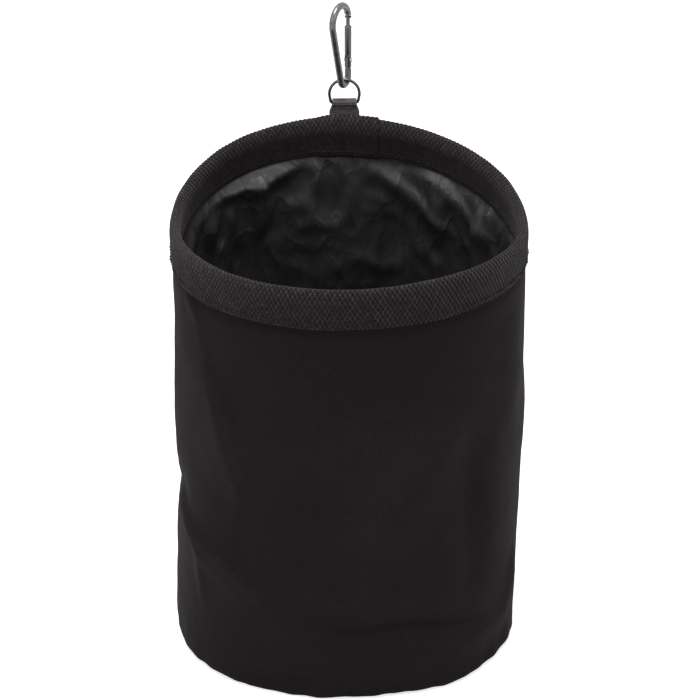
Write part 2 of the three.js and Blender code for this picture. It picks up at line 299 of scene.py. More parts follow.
def shape_cloth(piece, width, length, place):
    """Move each point of a flat cloth to place(around, up), both from 0 to 1."""
    for point in piece.data.vertices:
        point.co = place(point.co.x / width + 0.5, point.co.y / length + 0.5)
    piece.data.update()


def ease(value, low, high):
    """0 below low, 1 above high, smooth between."""
    share = min(max((value - low) / (high - low), 0), 1)
    return share * share * (3 - 2 * share)


def bell(distance, width):
    """1 at no distance, falling to almost nothing at twice the width."""
    return math.exp(-(distance / width) ** 2)


def ripple(a, b, c, size):
    """Soft unevenness between -1 and 1 with waves of about this size in metres."""
    return noise.noise(Vector((a / size, b / size, c / size)))


# Bag shape

def rim_top(turn):
    """Height of the rim's top; turn is measured from the front, positive to the right."""
    back = -math.cos(turn)
    lift = (back + math.hypot(back, LIFT_SOFTNESS)) / (1 + math.hypot(1, LIFT_SOFTNESS))
    return FRONT_HEIGHT + BACK_LIFT * lift + RIM_TWIST * math.sin(2 * turn)


def lean_at(height):
    """The foot of the soft bag stands a little to the left of its mouth."""
    return FOOT_LEAN * (1 - ease(height, 0, LEAN_HEIGHT))


def on_round(radius, turn, height):
    """A point of the leaning bag, by its distance from the bag's middle, its turn and its height."""
    return Vector((radius * math.sin(turn) + lean_at(height), -radius * math.cos(turn), height))


def foot_spread(turn, up=0.0):
    """The sewn base is slightly squared: its four corners stand out."""
    return FOOT_SPREAD * math.sin(2 * turn) ** 2 * bell(up, FOOT_HEIGHT)


class Fold:
    """A soft ridge or hollow in cloth along a line of (around, up) points in millimetres.

    It stands out by height and falls off to the left and right of its line over these widths.
    """

    def __init__(self, line, height, left, right):
        self.line = [Vector((a / 1000, b / 1000)) for a, b in line]
        self.height = height / 1000
        self.left = left / 1000
        self.right = right / 1000
        self.reach = 2.6 * max(self.left, self.right)
        self.low = [min(p[i] for p in self.line) - self.reach for i in (0, 1)]
        self.high = [max(p[i] for p in self.line) + self.reach for i in (0, 1)]
        self.lengths = [(b - a).length for a, b in zip(self.line, self.line[1:])]

    def at(self, around, up):
        if not (self.low[0] < around < self.high[0] and self.low[1] < up < self.high[1]):
            return 0.0
        spot = Vector((around, up))
        best = None
        run = 0.0
        for a, b, length in zip(self.line, self.line[1:], self.lengths):
            along = (b - a) / length
            travel = min(max((spot - a).dot(along), 0), length)
            gap = spot - (a + along * travel)
            if best is None or gap.length < best[0]:
                side = along.x * gap.y - along.y * gap.x
                best = (gap.length, side, (run + travel) / sum(self.lengths))
            run += length
        distance, side, share = best
        fade = math.sin(math.pi * (0.02 + 0.96 * share)) ** 0.7  # almost nothing at both ends
        return self.height * fade * bell(distance, self.left if side > 0 else self.right)


FRONT_FOLDS = [
    Fold([(-96, 200), (-90, 183), (-80, 162), (-73, 143), (-67, 129), (-69, 112)], 3.4, 4, 22),
    Fold([(-124, 232), (-109, 222), (-98, 213)], 1.2, 4, 5),
    Fold([(-94, 196), (-80, 162), (-71, 138), (-67, 120), (-70, 104)], 1.1, 2.6, 6),
    Fold([(-128, 88), (-110, 79), (-96, 72), (-80, 66.5), (-66, 58), (-52, 48)], 1.3, 2.6, 5),
    Fold([(-140, 94), (-131, 89), (-110, 79), (-96, 72), (-80, 66.5), (-71, 62), (-50, 47)], 3.2, 4.6, 20),
    Fold([(-178, 98), (-156, 88), (-140, 100), (-118, 96)], -3.0, 11, 9),
    Fold([(-100, 80), (-99, 57), (-96, 38)], 1.5, 5, 5),
    Fold([(-34, 52), (-13, 46.6), (9, 45), (27, 47), (59, 41), (97, 29)], -1.6, 2.2, 4),
    Fold([(-34, 60), (-4, 57), (27, 58), (59, 52), (91, 40)], 1.8, 9, 5),
    Fold([(62, 175), (53, 158), (35, 135), (21, 106), (4, 83), (-4, 64)], 4.2, 18, 24),
    Fold([(70, 160), (73, 140), (75, 112), (78, 72), (70, 48)], -3.8, 14, 14),
    Fold([(130, 60), (126, 45), (120, 33), (110, 22)], 2.6, 5, 8),
    Fold([(156, 165), (158, 110), (156, 60)], 1.4, 26, 26),
    Fold([(21, 6), (52, 21), (84, 25), (114, 21)], 1.1, 5, 6),
    Fold([(66, 6), (96, 8), (126, 12)], -1.6, 10, 8),
    Fold([(-66, 5), (-43, 6), (-22, 6)], -1.8, 5, 5),
    Fold([(106, 215), (114, 180), (108, 140)], 1.8, 18, 16),
]

BACK_FOLDS = [
    Fold([(165, 220), (180, 180), (205, 140), (215, 100)], 2.4, 16, 12),
    Fold([(190, 90), (215, 70), (245, 58), (275, 40)], 2.6, 10, 7),
    Fold([(150, 120), (165, 90), (170, 55)], -2.2, 13, 13),
    Fold([(240, 235), (252, 200), (250, 160)], 1.6, 10, 14),
    Fold([(270, 150), (262, 110), (272, 70)], -2.0, 14, 12),
    Fold([(-170, 225), (-190, 185), (-196, 140)], 2.2, 12, 16),
    Fold([(-180, 100), (-205, 84), (-235, 60), (-258, 52)], 2.8, 8, 12),
    Fold([(-215, 170), (-222, 130), (-215, 95)], -2.2, 14, 14),
    Fold([(-262, 240), (-255, 205), (-268, 170)], 1.8, 10, 12),
    Fold([(-275, 60), (-240, 44), (-200, 40), (-170, 30)], -1.2, 3, 5),
    Fold([(180, 8), (215, 6), (250, 9)], -2.4, 8, 8),
]


def wall_relief(turn, up):
    """How far the wall's cloth stands out from the plain tube."""
    around = turn * WALL_RADIUS
    spot = on_round(WALL_RADIUS, turn, up)
    below_band = rim_top(turn) - BAND - up
    from_seam = AROUND / 2 - abs(around)
    out = WALL_BULGE * bell(up - BULGE_HEIGHT, BULGE_HEIGHT / 2)
    out += sum(fold.at(around, up) for fold in FRONT_FOLDS + BACK_FOLDS)
    for height, size, seed in WALL_RIPPLES:
        out += height * ripple(spot.x, spot.y, spot.z + seed, size)
    out += FOOT_PUCKER * ripple(spot.x, spot.y, 0.3 * up + 3, 0.008) * bell(up, 0.022)
    out += BAND_PUCKER * ripple(spot.x, spot.y, 0.2 * up + 5, 0.007) * bell(below_band, 0.010)
    out += SEAM_PUCKER * ripple(up, 0, 7, 0.007) * bell(from_seam, 0.008)
    out -= SEAM_DENT * bell(from_seam, 0.0011)
    out -= BAND_DENT * bell(below_band - 0.0012, 0.0026)
    return out * ease(below_band, -0.008, 0.008)


def wall_point(around, share):
    """A point of the wall's cloth, from the base seam, round the corner and up under the binding."""
    turn = 2 * math.pi * (around - 0.5)
    turn_in = CORNER * math.pi / 2
    rows = max(share, 0) ** 1.08  # closer together near the foot
    rise = rows * (turn_in + rim_top(turn) - EDGE_BELOW_RIM - CORNER)
    bend = min(rise / CORNER, math.pi / 2)
    up = CORNER * (1 - math.cos(bend)) + max(rise - turn_in, 0)
    out = wall_relief(turn, up)
    radius = SEAM_RADIUS + foot_spread(turn, up) + (CORNER + out) * math.sin(bend)
    return on_round(radius, turn, max(up - out * math.cos(bend), SEAM_GAP))


def mark_raised(piece):
    """Note how far each point of the wall stands out, for painted light and shade in the cloth's colour:
    paler on raised folds, darker in hollows.
    """
    raised = piece.data.attributes.new("raised", "FLOAT", "POINT")
    for point, mark in zip(piece.data.vertices, raised.data):
        place = point.co - on_round(0, 0, point.co.z)
        plain = WALL_RADIUS + foot_spread(math.atan2(place.x, -place.y), point.co.z)
        mark.value = (place.xy.length - plain) / RAISED_FULL * ease(point.co.z, CORNER, 3 * CORNER)


def wall_cloth():
    width = AROUND
    length = FRONT_HEIGHT + BACK_LIFT / 2 - EDGE_BELOW_RIM + CORNER / 2
    piece = cut_cloth("wall_cloth", width, length, *WALL_GRID)
    shape_cloth(piece, width, length, wall_point)
    merge_doubles(piece)
    mark_raised(piece)
    apply_modifier(piece, "SOLIDIFY", thickness=CLOTH, offset=-1)
    smooth(piece, 60)
    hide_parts("outer_wall")
    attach(piece, "bag")
    return piece


def round_cloth(name, radius, rings):
    """A flat round of cloth, inset ring by ring towards its middle."""
    let_go()
    bpy.ops.mesh.primitive_circle_add(vertices=ROUND_SIDES, radius=radius, fill_type="NGON")
    piece = name_new(name)
    edit_all(piece)
    for ring in range(rings):
        bpy.ops.mesh.inset(thickness=radius / (rings + 1))
    bpy.ops.mesh.poke()
    leave_edit()
    return piece


def base_cloth():
    radius = SEAM_RADIUS - SEAM_GAP
    piece = round_cloth("base_cloth", radius, BASE_RINGS)
    for point in piece.data.vertices:
        middle = 1 - ease(point.co.xy.length, 0.6 * radius, radius)
        hollow = BASE_HOLLOW * (0.5 + 0.5 * ripple(point.co.x, point.co.y, 0, 0.035))
        point.co.xy *= 1 + foot_spread(math.atan2(point.co.x, -point.co.y)) / radius
        point.co.x += FOOT_LEAN
        point.co.z = BASE_LIFT + hollow * middle
    apply_modifier(piece, "SOLIDIFY", thickness=CLOTH, offset=1)
    smooth(piece, 60)
    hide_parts("base_panel")
    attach(piece, "bag")
    return piece


# Hanging the lining

def lining_swell(turn, up):
    """How far the slack lining hangs in from the wall: a sag below the binding, in soft upright folds."""
    drift = FOLD_DRIFT * ripple(0.1 * math.sin(turn), 0.1 * math.cos(turn), up, 0.06)
    shifted = turn - FOLD_SHIFT * math.sin(4 * turn) + drift
    fold = 0.5 + 0.5 * math.cos(LINING_FOLDS * shifted)
    uneven = 0.75 + 0.25 * math.sin(3 * turn + 1)
    below_band = rim_top(turn) - BAND - up
    hang = ease(below_band, 0.0005, 0.022) * ease(up, 0.004, 0.060)
    return hang * (LINING_SAG + LINING_FOLD * uneven * fold)


def lining_point(around, share):
    """The lining in its main folds, with the first small waves that the hanging turns into wrinkles."""
    turn = 2 * math.pi * (around - 0.5)
    up = LINING_FOOT + share * (rim_top(turn) - LINING_TOP - LINING_FOOT)
    held = min(ease(share, 0, 0.06), ease(1 - share, 0.01, 0.08))
    spot = on_round(WALL_RADIUS, turn, up)
    wave = LINING_WAVE * ripple(spot.x + 0.5 * up, spot.y - 0.6 * up, up + 2, 0.024)
    wave += LINING_CRINKLE * ripple(spot.x, spot.y, up + 4, 0.011)
    corner = (1 - ease(up, 0.001, 0.008)) * LINING_CORNER
    return on_round(LINING_RADIUS - corner - lining_swell(turn, up) + held * wave, turn, up)


def sewn_edges(piece):
    """Hold the lining along its top edge and its foot."""
    sewn = piece.vertex_groups.new(name="sewn")
    for point in piece.data.vertices:
        top = rim_top(math.atan2(point.co.x, -point.co.y)) - LINING_TOP
        if point.co.z > top - SEWN_TOP or point.co.z < LINING_FOOT + SEWN_FOOT:
            sewn.add([point.index], 1.0, "REPLACE")


def lining_guard():
    """A plain tube that keeps the falling lining inside the wall."""
    let_go()
    bpy.ops.mesh.primitive_cylinder_add(
        vertices=96, radius=LINING_RADIUS + GUARD_GAP, depth=GUARD_HEIGHT, end_fill_type="NOTHING"
    )
    guard = name_new("lining_guard")
    guard.location = (lean_at(0) / 2, 0, GUARD_MIDDLE)
    settle(guard)
    edit_all(guard)
    bpy.ops.mesh.flip_normals()
    leave_edit()
    guard.modifiers.new("guard", "COLLISION")
    guard.collision.thickness_outer = 0.001
    guard.collision.thickness_inner = 0.02
    return guard


def hang_lining(piece):
    """Let the lining, cut larger than its place, fall in wrinkles inside the wall."""
    guard = lining_guard()
    sewn_edges(piece)
    modifier = piece.modifiers.new("hang", "CLOTH")
    cloth = modifier.settings
    cloth.quality = 6
    cloth.mass = 0.12
    cloth.tension_stiffness = 15
    cloth.compression_stiffness = 15
    cloth.shear_stiffness = 6
    cloth.bending_stiffness = 0.05
    cloth.air_damping = 2
    cloth.shrink_min = -LINING_SLACK
    cloth.vertex_group_mass = "sewn"
    modifier.collision_settings.distance_min = 0.001
    modifier.collision_settings.collision_quality = 2
    modifier.point_cache.frame_start = 1
    modifier.point_cache.frame_end = HANG_STEPS
    for step in range(1, HANG_STEPS + 1):
        bpy.context.scene.frame_set(step)
    take(piece)
    bpy.ops.object.modifier_apply(modifier=modifier.name)
    bpy.context.scene.frame_set(1)
    bpy.data.objects.remove(guard)


LINING_PUFFS = [
    Fold([(-288, -1), (-272, -8), (-257, -11), (-240, -7), (-210, -3)], 4.6, 9, 3),
    Fold([(-257, -9), (-263, -24), (-256, -42)], 2.6, 6, 3),
    Fold([(-238, -6), (-234, -22), (-243, -46)], 2.2, 3, 6),
    Fold([(-208, -4), (-196, -14), (-170, -17)], 2.4, 8, 3),
    Fold([(300, -5), (278, -13), (254, -28), (238, -34)], 2.4, 7, 3),
    Fold([(250, -4), (229, -14), (204, -21)], 2.0, 7, 3),
    Fold([(-18, -5), (-4, -12), (16, -9), (30, -4)], 2.8, 8, 3),
    Fold([(60, -6), (84, -15), (112, -10)], 2.6, 8, 3),
    Fold([(-104, -5), (-82, -13), (-60, -8)], 2.6, 8, 3),
]


def crease(place, size, seed):
    """A sharp crumpled line, 1 along the line and falling quickly beside it."""
    return (1 - abs(ripple(place.x, place.y, 0.8 * place.z + seed, size))) ** 5


def finish_lining(piece):
    """Crumple the lining a little, and hold every point inside the wall's folds and above the base."""
    for point in piece.data.vertices:
        middle = on_round(0, 0, point.co.z)
        out = (point.co - middle).xy
        turn = math.atan2(out.x, -out.y)
        below_band = rim_top(turn) - BAND - point.co.z
        loose = ease(below_band, 0.0005, 0.007) * ease(point.co.z, 0.004, 0.02)
        crumple = sum(height * crease(point.co, size, seed) for height, size, seed in LINING_CRUMPLES)
        crumple += sum(fold.at(turn * WALL_RADIUS, -below_band) for fold in LINING_PUFFS)
        room = LINING_RADIUS + min(wall_relief(turn, point.co.z), 0.0004)
        reach = min(out.length - loose * crumple, room)
        point.co.xy = middle.xy + out * reach / out.length
        point.co.z = max(point.co.z, LINING_FOOT - LINING)


def lining_cloth():
    width = AROUND * (1 + LINING_SLACK)
    length = (FRONT_HEIGHT + BACK_LIFT / 2 - LINING_TOP) * (1 + LINING_SLACK)
    piece = cut_cloth("lining_cloth", width, length, *LINING_GRID)
    shape_cloth(piece, width, length, lining_point)
    merge_doubles(piece)
    hang_lining(piece)
    finish_lining(piece)
    apply_modifier(piece, "SOLIDIFY", thickness=LINING, offset=-1)
    smooth(piece, 80)
    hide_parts("lining_wall")
    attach(piece, "bag")
    return piece


def lining_floor():
    radius = SEAM_RADIUS - 2 * SEAM_GAP
    piece = round_cloth("lining_floor", radius, FLOOR_RINGS)
    for point in piece.data.vertices:
        loose = 1 - ease(point.co.xy.length, 0.86 * radius, radius)
        fold = FLOOR_FOLD * (1 - abs(ripple(point.co.x, 0.6 * point.co.y, 2, 0.055))) ** 4
        wrinkle = FLOOR_WRINKLE * (1 - abs(ripple(0.5 * point.co.x, point.co.y, 4, 0.024))) ** 4
        point.co.x += FOOT_LEAN
        point.co.z = FLOOR_HEIGHT + loose * (fold + wrinkle)
    apply_modifier(piece, "SOLIDIFY", thickness=LINING, offset=1)
    smooth(piece, 80)
    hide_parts("lining_base")
    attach(piece, "bag")
    return piece


# Rim binding

def tape_section():
    """The face of the folded webbing, as (out, up) from the rim's middle and top, outer edge first."""
    hem = [(LEG - TAPE, -BAND), (LEG - HEM_ROUND, -BAND), (LEG, -BAND + HEM_RISE)]
    line = [Vector(place) for place in hem]
    for step in range(37):
        angle = math.radians(5 * step)
        width = FOLD_OUT if step < 18 else FOLD_IN
        line.append(Vector((width * math.cos(angle), FOLD_DEPTH * (math.sin(angle) - 1))))
    return line + [Vector((-out, up)) for out, up in reversed(hem)]


TAPE_SECTION = tape_section()
TAPE_RUNS = [(b - a).length for a, b in zip(TAPE_SECTION, TAPE_SECTION[1:])]
TAPE_WIDTH = sum(TAPE_RUNS)
TAPE_LENGTH = AROUND + LAP_TO - LAP_FROM


def yarn_height(along, across):
    """Height of the webbing's yarns, in rows set half a step apart; both places are counted in yarns."""
    return 0.5 + 0.5 * math.cos(2 * math.pi * along) * math.cos(math.pi * across)


def across_tape(share):
    """The place across the section and the way the webbing faces there."""
    rest = share * TAPE_WIDTH
    for a, b, run in zip(TAPE_SECTION, TAPE_SECTION[1:], TAPE_RUNS):
        if rest <= run + 1e-9:
            along = (b - a) / run
            return a + along * rest, Vector((along.y, -along.x))
        rest -= run
    return TAPE_SECTION[-1], Vector((-1, 0))


def tape_point(along, share, raised=0.0):
    """A point of the binding: along its length from the under end, share across from its outer edge."""
    run = along * TAPE_LENGTH
    turn = math.pi - (LAP_FROM + run) / WALL_RADIUS
    place, facing = across_tape(share)
    over = run - AROUND
    lap = LAP_STEP * ease(over, -0.009, 0.001)
    soft = 0.00022 * ripple(run, share * TAPE_WIDTH, 17, 0.012)
    soft += 0.0004 * ripple(run, 0.4 * share * TAPE_WIDTH, 19, 0.05)
    pressed = PRESSED * ease(share, PRESSED_FROM, PRESSED_TO)
    soft += (1 - pressed) * YARN_RELIEF * (yarn_height(along * YARNS_ALONG, share * YARNS_ACROSS) - 0.5)
    if along > 0.99999 or along < 0.00001:  # the cut ends turn down through the webbing
        soft -= TAPE
    edge = HEM_WAVER * ripple(run, 0, 23, 0.03) * (1 if share < 0.5 else -1)
    hem = max(1 - 6 * min(share, 1 - share), 0)
    spot = place + facing * (lap + soft + raised) + Vector((0, edge * hem))
    return on_round(RIM_MIDDLE + spot.x, turn, rim_top(turn) + spot.y)


def rim_tape():
    piece = cut_cloth("rim_tape", TAPE_LENGTH, TAPE_WIDTH, *RIM_GRID)
    shape_cloth(piece, TAPE_LENGTH, TAPE_WIDTH, tape_point)
    edit_all(piece)
    bpy.ops.mesh.normals_make_consistent(inside=False)
    leave_edit()
    smooth(piece, 80)
    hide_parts("rim_binding")
    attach(piece, "bag")
    return piece


# Hanging tab

def tab_line():
    """The middle of the tab's webbing as (out, up): up its inner layer, round the bar and down the outer."""
    half = TAPE / 2
    pinch = math.asin(half / TAB_EYE) + 0.25
    line = [Vector((-half, TAB_FOOT)), Vector((-half, BAR_Z - 2.4 * TAB_EYE))]
    for step in range(25):
        angle = 1.5 * math.pi - pinch - (2 * math.pi - 2 * pinch) * step / 24
        line.append(Vector((TAB_EYE * math.cos(angle), BAR_Z + TAB_EYE * math.sin(angle))))
    line += [Vector((half, BAR_Z - 2.4 * TAB_EYE)), Vector((half, TAB_FOOT))]
    return line


TAB_LINE = tab_line()
TAB_RUNS = [(b - a).length for a, b in zip(TAB_LINE, TAB_LINE[1:])]
TAB_LENGTH = sum(TAB_RUNS)


def tab_hug(side):
    """How far the tab's edges bend forward round the bag."""
    return TAB_HUG * (side / TAB_WIDTH) ** 2


def tab_point(across, share):
    """A point of the tab's webbing: across its width, and share along it from the inner tail."""
    rest = share * TAB_LENGTH
    for a, b, run in zip(TAB_LINE, TAB_LINE[1:], TAB_RUNS):
        if rest <= run + 1e-9:
            break
        rest -= run
    along = (b - a) / run
    place = a + along * rest
    facing = Vector((-along.y, along.x))
    gathered = ease(place.y, BAR_Z - 0.006, BAR_Z - 0.0005)
    width = TAB_WIDTH + (TAB_EYE_WIDTH - TAB_WIDTH) * gathered
    side = (across - 0.5) * width
    rib = RIB_RELIEF * math.cos(2 * math.pi * share * TAB_LENGTH / RIB)
    place = place + facing * rib
    close = TAB_CLOSE * (1 - ease(place.y, TAB_FOOT + 0.012, TAB_FOOT + 0.021))
    hug = tab_hug(side) * (1 - gathered)
    return Vector((side, TAB_Y + place.x - close - hug, place.y))


def tab_strip():
    piece = cut_cloth("tab_strip", TAB_WIDTH, TAB_LENGTH, *TAB_GRID)
    shape_cloth(piece, TAB_WIDTH, TAB_LENGTH, tab_point)
    edit_all(piece)
    bpy.ops.mesh.normals_make_consistent(inside=False)
    leave_edit()
    apply_modifier(piece, "SOLIDIFY", thickness=TAB_THICKNESS, offset=0)
    soften_edges(piece, 0.0002, 2, 60)
    smooth(piece, 60)
    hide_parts("hanging_tab")
    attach(piece, "bag")
    return piece


# Sewing

def one_stitch(sides_too):
    """A short thread that dips at both ends, lying along X with Z out of the cloth.

    Its ends are pulled out, and its sides as well where sides_too is set.
    """
    let_go()
    lying = (0, math.pi / 2, 0)
    bpy.ops.mesh.primitive_cylinder_add(vertices=6, radius=THREAD, depth=0.6 * STITCH, rotation=lying)
    stitch = name_new("one_stitch")
    settle(stitch)
    edit_all(stitch)
    bpy.ops.mesh.select_mode(type="FACE")
    leave_edit()
    for face in stitch.data.polygons:
        face.select = sides_too or abs(face.normal.x) > 0.9
    bpy.ops.object.mode_set(mode="EDIT")
    bpy.ops.mesh.extrude_faces_move(TRANSFORM_OT_shrink_fatten={"value": 0.2 * STITCH})
    leave_edit()
    for point in stitch.data.vertices:
        end = ease(abs(point.co.x), 0.31 * STITCH, 0.5 * STITCH)
        point.co.y *= 1 - 0.5 * end
        point.co.z = point.co.z * (1 - 0.5 * end) - 1.3 * THREAD * end
    return stitch


def sew(name, places, sides_too=False):
    """Copy the stitch to each (place, along, out) and join the copies into one row."""
    stitch = one_stitch(sides_too)
    copies = []
    for place, along, out in places:
        along = along.normalized()
        side = out.cross(along).normalized()
        out = along.cross(side)
        copy = stitch.copy()
        copy.data = stitch.data.copy()
        turned = Matrix((along, side, out)).transposed().to_4x4()
        copy.matrix_world = Matrix.Translation(place) @ turned
        bpy.context.collection.objects.link(copy)
        copies.append(copy)
    let_go()
    for copy in copies:
        copy.select_set(True)
    bpy.context.view_layer.objects.active = copies[0]
    bpy.ops.object.join()
    row = name_new(name)
    settle(row)
    smooth(row, 80)
    bpy.data.objects.remove(stitch)
    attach(row, "bag")
    return row


def tape_stitches(name, share, sides_too=False):
    """A row of stitches along the binding, share across it."""
    count = round(TAPE_LENGTH / STITCH_PITCH)
    places = []
    for number in range(1, count):
        here = tape_point(number / count, share, STITCH_LIFT)
        ahead = tape_point((number + 0.2) / count, share, STITCH_LIFT)
        inside = tape_point(number / count, share, STITCH_LIFT - TAPE / 2)
        places.append((here, ahead - here, here - inside))
    return sew(name, places, sides_too)


def tab_stitches():
    """A sewn box with a cross on the tab's tail."""
    outer = TAB_Y + TAPE - STITCH_SINK
    corners = []
    for side, up in ((-BOX_HALF, BOX_LOW), (BOX_HALF, BOX_LOW), (BOX_HALF, BOX_HIGH), (-BOX_HALF, BOX_HIGH)):
        corners.append(Vector((side, outer, up)))
    box = list(zip(corners, corners[1:] + corners[:1]))
    cross = [(corners[0], corners[2]), (corners[3], corners[1])]
    places = []
    for start, end in box + cross:
        count = max(round((end - start).length / BOX_PITCH), 1)
        for number in range(count):
            place = start.lerp(end, (number + 0.5) / count)
            place.y -= tab_hug(place.x)
            places.append((place, end - start, Vector((0, 1, 0))))
    return sew("tab_stitches", places)


# Metal

def start_rod(name, middle, radius, sides, rotation):
    """A ring of points in edit mode, ready to be spun and extruded into a bent rod."""
    let_go()
    bpy.ops.mesh.primitive_circle_add(vertices=sides, radius=radius, location=middle, rotation=rotation)
    piece = name_new(name)
    settle(piece)
    edit_all(piece)
    return piece


def bend_rod(centre, degrees, axis, steps):
    """Carry the rod's end round a bend, right-handed about the axis."""
    bpy.ops.mesh.spin(steps=steps, angle=-math.radians(degrees), center=centre, axis=axis)


def run_rod(move):
    """Carry the rod's end straight on."""
    bpy.ops.mesh.extrude_region_move(TRANSFORM_OT_translate={"value": move})


def close_rod(piece):
    """Cap the open ends and turn the faces outwards."""
    edit_all(piece)
    bpy.ops.mesh.remove_doubles(threshold=1e-6)
    bpy.ops.mesh.fill_holes(sides=0)
    bpy.ops.mesh.select_all(action="SELECT")
    bpy.ops.mesh.normals_make_consistent(inside=False)
    leave_edit()


def ring_wire():
    """Half of the D is spun and extruded from the top of its arch, then mirrored."""
    arch = Vector((0, TAB_Y, BAR_Z + RING_HEIGHT - RING_WIDE_HALF))
    corner = Vector((RING_BAR_HALF - RING_CORNER, TAB_Y, BAR_Z + RING_CORNER))
    between = corner - arch
    slope = math.atan2(between.z, between.x)
    leave = slope + math.acos((RING_WIDE_HALF - RING_CORNER) / between.length)
    outward = Vector((math.cos(leave), 0, math.sin(leave)))
    top = arch + Vector((0, 0, RING_WIDE_HALF))
    piece = start_rod("ring_wire", top, RING_WIRE, 20, (0, math.pi / 2, 0))
    bend_rod(arch, 90 - math.degrees(leave), (0, 1, 0), 26)
    run_rod((corner + outward * RING_CORNER) - (arch + outward * RING_WIDE_HALF))
    bend_rod(corner, 90 + math.degrees(leave), (0, 1, 0), 12)
    run_rod((-corner.x, 0, 0))
    leave_edit()
    apply_modifier(piece, "MIRROR", merge_threshold=1e-5)
    merge_doubles(piece)
    smooth(piece)
    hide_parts("d_ring")
    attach(piece, "ring")
    return piece


def turn_out(piece):
    """Turn a carabiner piece, modelled flat, out of the ring's plane and onto the ring."""
    piece.rotation_euler = (0, 0, CARABINER_TURN)
    piece.location = (0, TAB_Y, 0)
    settle(piece)


def carabiner_rod():
    narrowing = math.asin((TOP_BEND - FOOT_BEND) / math.hypot(TOP_X, BEND_SPACING))
    lean = narrowing + math.atan2(-TOP_X, BEND_SPACING)
    spine_out = Vector((-math.cos(lean), 0, -math.sin(lean)))
    top = Vector((TOP_X, 0, TOP_Z))
    foot = Vector((0, 0, FOOT_Z))
    piece = start_rod("carabiner_rod", (GATE_X, 0, TOP_Z), ROD, 24, (0, 0, 0))
    bend_rod(top, 180 + math.degrees(lean), (0, -1, 0), 44)
    run_rod((foot + spine_out * FOOT_BEND) - (top + spine_out * TOP_BEND))
    bend_rod(foot, 180 - math.degrees(lean), (0, -1, 0), 32)
    run_rod((0, 0, HINGE_Z - TANG_SHOULDER - FOOT_Z))
    run_rod((0, 0, TANG_SHOULDER + TANG_TOP))
    close_rod(piece)
    left = GATE_X - CUT_REACH
    right = GATE_X + CUT_REACH
    tang_low = HINGE_Z - TANG_SHOULDER
    tang_high = HINGE_Z + 2 * TANG_TOP
    carve(piece, block_between((left, TANG_HALF, tang_low), (right, CUT_REACH, tang_high)))
    carve(piece, block_between((left, -CUT_REACH, tang_low), (right, -TANG_HALF, tang_high)))
    slot_top = HINGE_Z + TONGUE_TOP + NOSE_CLEARANCE
    slot_back = GATE_X + ROD - NOSE_BACK
    carve(piece, block_between((left, -NOSE_SLOT_HALF, TOP_Z - ROD), (slot_back, NOSE_SLOT_HALF, slot_top)))
    groove_low = LATCH_Z - LATCH_GROOVE
    groove_high = LATCH_Z + LATCH_GROOVE
    groove_back = GATE_X + LATCH_GROOVE
    carve(piece, block_between((left, -CUT_REACH, groove_low), (groove_back, CUT_REACH, groove_high)))
    soften_edges(piece, ROD_EDGE, 2, 35)
    turn_out(piece)
    smooth(piece)
    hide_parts("carabiner_frame")
    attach(piece, "carabiner")
    return piece


def gate_bar():
    low = HINGE_Z - GATE_BELOW
    high = HINGE_Z + GATE_SHOULDER
    let_go()
    middle = (GATE_X, 0, (low + high) / 2)
    bpy.ops.mesh.primitive_cylinder_add(vertices=32, radius=GATE, depth=high - low, location=middle)
    piece = name_new("gate_bar")
    settle(piece)
    soften_edges(piece, GATE_END, 4, 60)
    tongue = block_between(
        (GATE_X - TONGUE_HALF_WIDTH, -TONGUE_HALF, high - TONGUE_ROOT),
        (GATE_X + TONGUE_HALF_WIDTH, TONGUE_HALF, HINGE_Z + TONGUE_TOP),
    )
    apply_modifier(tongue, "BEVEL", width=TONGUE_EDGE, segments=3)
    apply_modifier(piece, "BOOLEAN", operation="UNION", solver="EXACT", object=tongue)
    bpy.data.objects.remove(tongue)
    fork_low = (GATE_X - CUT_REACH, -FORK_HALF, low - CUT_REACH)
    fork_high = (GATE_X + CUT_REACH, FORK_HALF, HINGE_Z + FORK_DEPTH)
    carve(piece, block_between(fork_low, fork_high))
    soften_edges(piece, GATE_EDGE, 2, 50)
    turn_out(piece)
    smooth(piece)
    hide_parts("carabiner_gate")
    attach(piece, "gate")
    return piece


def hinge_rivet():
    let_go()
    bpy.ops.mesh.primitive_cylinder_add(vertices=28, radius=RIVET_HEAD, depth=2 * RIVET_HALF)
    piece = name_new("hinge_rivet")
    piece.location = (GATE_X, 0, HINGE_Z)
    piece.rotation_euler = (math.pi / 2, 0, 0)
    settle(piece)
    soften_edges(piece, RIVET_EDGE, 5, 60)
    turn_out(piece)
    smooth(piece)
    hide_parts("gate_rivet")
    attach(piece, "carabiner")
    return piece


# Finishes

def fill(tree, node, values):
    """Give a node's inputs these values, linking those that come from other nodes."""
    for socket, value in values.items():
        if isinstance(value, bpy.types.NodeSocket):
            tree.links.new(value, node.inputs[socket])
        else:
            node.inputs[socket].default_value = value


def add_node(tree, kind, values=None, **settings):
    """A new node with these settings and input values."""
    made = tree.nodes.new(kind)
    for setting, value in settings.items():
        setattr(made, setting, value)
    fill(tree, made, values or {})
    return made


def new_tree(name, colour):
    """A material of this plain colour, with its node tree and its shader."""
    material = bpy.data.materials.new(name)
    material.use_nodes = True
    material.diffuse_color = (*colour, 1)
    tree = material.node_tree
    shader = tree.nodes["Principled BSDF"]
    shader.inputs["Base Color"].default_value = (*colour, 1)
    return material, tree, shader


def new_group(name, numbers, results):
    """An empty shader node group, with what it is given (a Vector and some numbers) and its end node."""
    group = bpy.data.node_groups.new(name, "ShaderNodeTree")
    group.interface.new_socket("Vector", in_out="INPUT", socket_type="NodeSocketVector")
    for socket in numbers:
        group.interface.new_socket(socket, in_out="INPUT", socket_type="NodeSocketFloat")
    for socket in results:
        group.interface.new_socket(socket, in_out="OUTPUT", socket_type="NodeSocketFloat")
    return group, group.nodes.new("NodeGroupInput").outputs, group.nodes.new("NodeGroupOutput")


